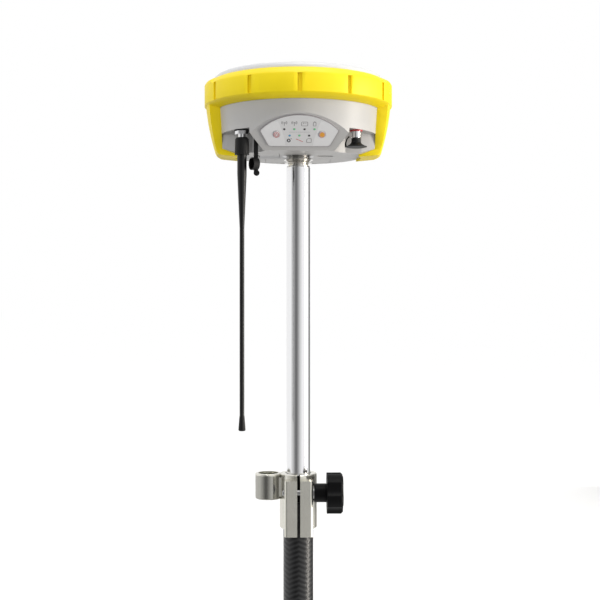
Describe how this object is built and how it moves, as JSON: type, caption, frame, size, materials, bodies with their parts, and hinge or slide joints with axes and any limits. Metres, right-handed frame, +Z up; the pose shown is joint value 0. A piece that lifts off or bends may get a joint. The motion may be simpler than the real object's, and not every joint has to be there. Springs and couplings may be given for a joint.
{
  "type": "gnss receiver",
  "caption": "Round satellite survey receiver with rubber bumper, tilted keypad and whip radio antenna, screwed on a telescopic pole with clamp and circular level.",
  "frame": {"origin": "centre of the mouth of the threaded coupling at the pole's lower end", "axes": "+Z up the pole, -Y the front with the keypad, +X the side of the clamp knob and the data port"},
  "size_m": [0.198, 0.198, 0.6605],
  "materials": {
    "carbon": "woven carbon fibre under clear gloss",
    "tube_metal": "polished",
    "cast_metal": "satin casting",
    "machined": "turned, bright",
    "steel": "satin",
    "chrome": "bright",
    "black_plastic": "fine grain, satin",
    "black_rubber": "matte",
    "yellow_rubber": "matte",
    "grey_plastic": "fine grain, warm grey",
    "white_plastic": "satin",
    "panel_grey": "printed film",
    "red_plastic": "gloss",
    "vial_glass": "clear, filled with tinted liquid",
    "board_green": "solder mask",
    "copper": "bright",
    "led_lens": "clear light pipe",
    "button_light": "satin silicone",
    "nylon": "natural"
  },
  "bodies": {
    "lower_pole": {"end_coupling": "machined", "outer_tube": "carbon", "clamp_body": "cast_metal", "clamp_liner": "black_plastic", "clamp_nut": "steel", "level_housing": "cast_metal", "level_vial": "vial_glass", "level_ring": "chrome", "level_screws": "steel"},
    "upper_pole": {"inner_tube": "tube_metal", "guide_bush": "nylon", "pole_adapter": "machined"},
    "knob_washer": {"clamp_washer": "steel"},
    "knob": {"clamp_screw": "steel", "clamp_knob": "black_plastic"},
    "stud_ring": {"stud_washer": "machined"},
    "receiver": {"lower_housing": "grey_plastic", "housing_seal": "black_rubber", "radome": "white_plastic", "housing_screws": "steel", "bumper": "yellow_rubber", "threaded_insert": "steel", "insert_screws": "steel", "battery_pack": "black_plastic", "battery_contacts": "copper", "battery_hinge_pin": "steel", "card_hinge_pin": "steel", "card_holder": "steel", "memory_card": "black_plastic", "main_board": "board_green", "shield_cans": "steel", "radio_modem": "steel", "antenna_spacers": "copper", "ground_plate": "machined", "antenna_substrate": "nylon", "antenna_patch": "copper", "keypad_panel": "panel_grey", "keypad_board": "board_green", "dome_switches": "steel", "status_leds": "led_lens", "port_ring": "red_plastic", "port_shell": "chrome", "port_pins": "copper", "whip_jack": "chrome", "cap_tether": "black_rubber"},
    "battery_lid": {"battery_door": "grey_plastic"},
    "card_lid": {"card_door": "grey_plastic"},
    "power_key": {"power_button": "button_light"},
    "function_key": {"function_button": "button_light"},
    "port_cover": {"port_cap": "black_rubber"},
    "spare_cap": {"hanging_cap": "black_rubber"},
    "whip_ring": {"whip_seal": "black_rubber"},
    "whip": {"whip_grip": "black_rubber", "whip_rod": "black_plastic", "whip_tip": "black_rubber"}
  },
  "joints": [
    {"name": "pole_extend", "type": "slide", "parent": "lower_pole", "child": "upper_pole", "axis": [0, 0, 1], "range_m": [-0.12, 0.025]},
    {"name": "knob_travel", "type": "slide", "parent": "lower_pole", "child": "knob_washer", "axis": [1, 0, 0], "range_m": [0, 0.002]},
    {"name": "knob_turn", "type": "hinge", "parent": "knob_washer", "child": "knob", "pos_m": [0.0293, -0.0205, 0.219], "axis": [-1, 0, 0], "range_deg": [0, 730]},
    {"name": "receiver_lift", "type": "slide", "parent": "upper_pole", "child": "stud_ring", "axis": [0, 0, 1], "range_m": [0, 0.0155]},
    {"name": "receiver_turn", "type": "hinge", "parent": "stud_ring", "child": "receiver", "pos_m": [0, 0, 0.572], "axis": [0, 0, 1], "range_deg": [0, 2340]},
    {"name": "battery_door_open", "type": "hinge", "parent": "receiver", "child": "battery_lid", "pos_m": [0, 0.0582, 0.5739], "axis": [1, 0, 0], "range_deg": [0, 100]},
    {"name": "card_door_open", "type": "hinge", "parent": "receiver", "child": "card_lid", "pos_m": [-0.0442, -0.011, 0.5739], "axis": [0, 1, 0], "range_deg": [0, 100]},
    {"name": "power_press", "type": "slide", "parent": "receiver", "child": "power_key", "axis": [0, 0.686, 0.7276], "range_m": [0, 0.0006], "stiffness_N_per_m": 1500, "springref_m": -0.0006},
    {"name": "function_press", "type": "slide", "parent": "receiver", "child": "function_key", "axis": [0, 0.686, 0.7276], "range_m": [0, 0.0006], "stiffness_N_per_m": 1500, "springref_m": -0.0006},
    {"name": "port_cap_pull", "type": "slide", "parent": "receiver", "child": "port_cover", "axis": [0, 0, -1], "range_m": [0, 0.008]},
    {"name": "spare_cap_swing", "type": "hinge", "parent": "receiver", "child": "spare_cap", "pos_m": [-0.0438, -0.05, 0.5903], "axis": [1, 0, 0], "range_deg": [-24, 20]},
    {"name": "whip_travel", "type": "slide", "parent": "receiver", "child": "whip_ring", "axis": [0, 0, -1], "range_m": [0, 0.00454]},
    {"name": "whip_turn", "type": "hinge", "parent": "whip_ring", "child": "whip", "pos_m": [-0.058, -0.05, 0.5835], "axis": [0, 0, -1], "range_deg": [0, 1816]}
  ],
  "couplings": [
    {"joint": "knob_turn", "follows": "knob_travel", "rad_per_m": 6283.2},
    {"joint": "receiver_lift", "follows": "receiver_turn", "m_per_rad": 0.0003675},
    {"joint": "whip_turn", "follows": "whip_travel", "rad_per_m": 6926.3}
  ]
}
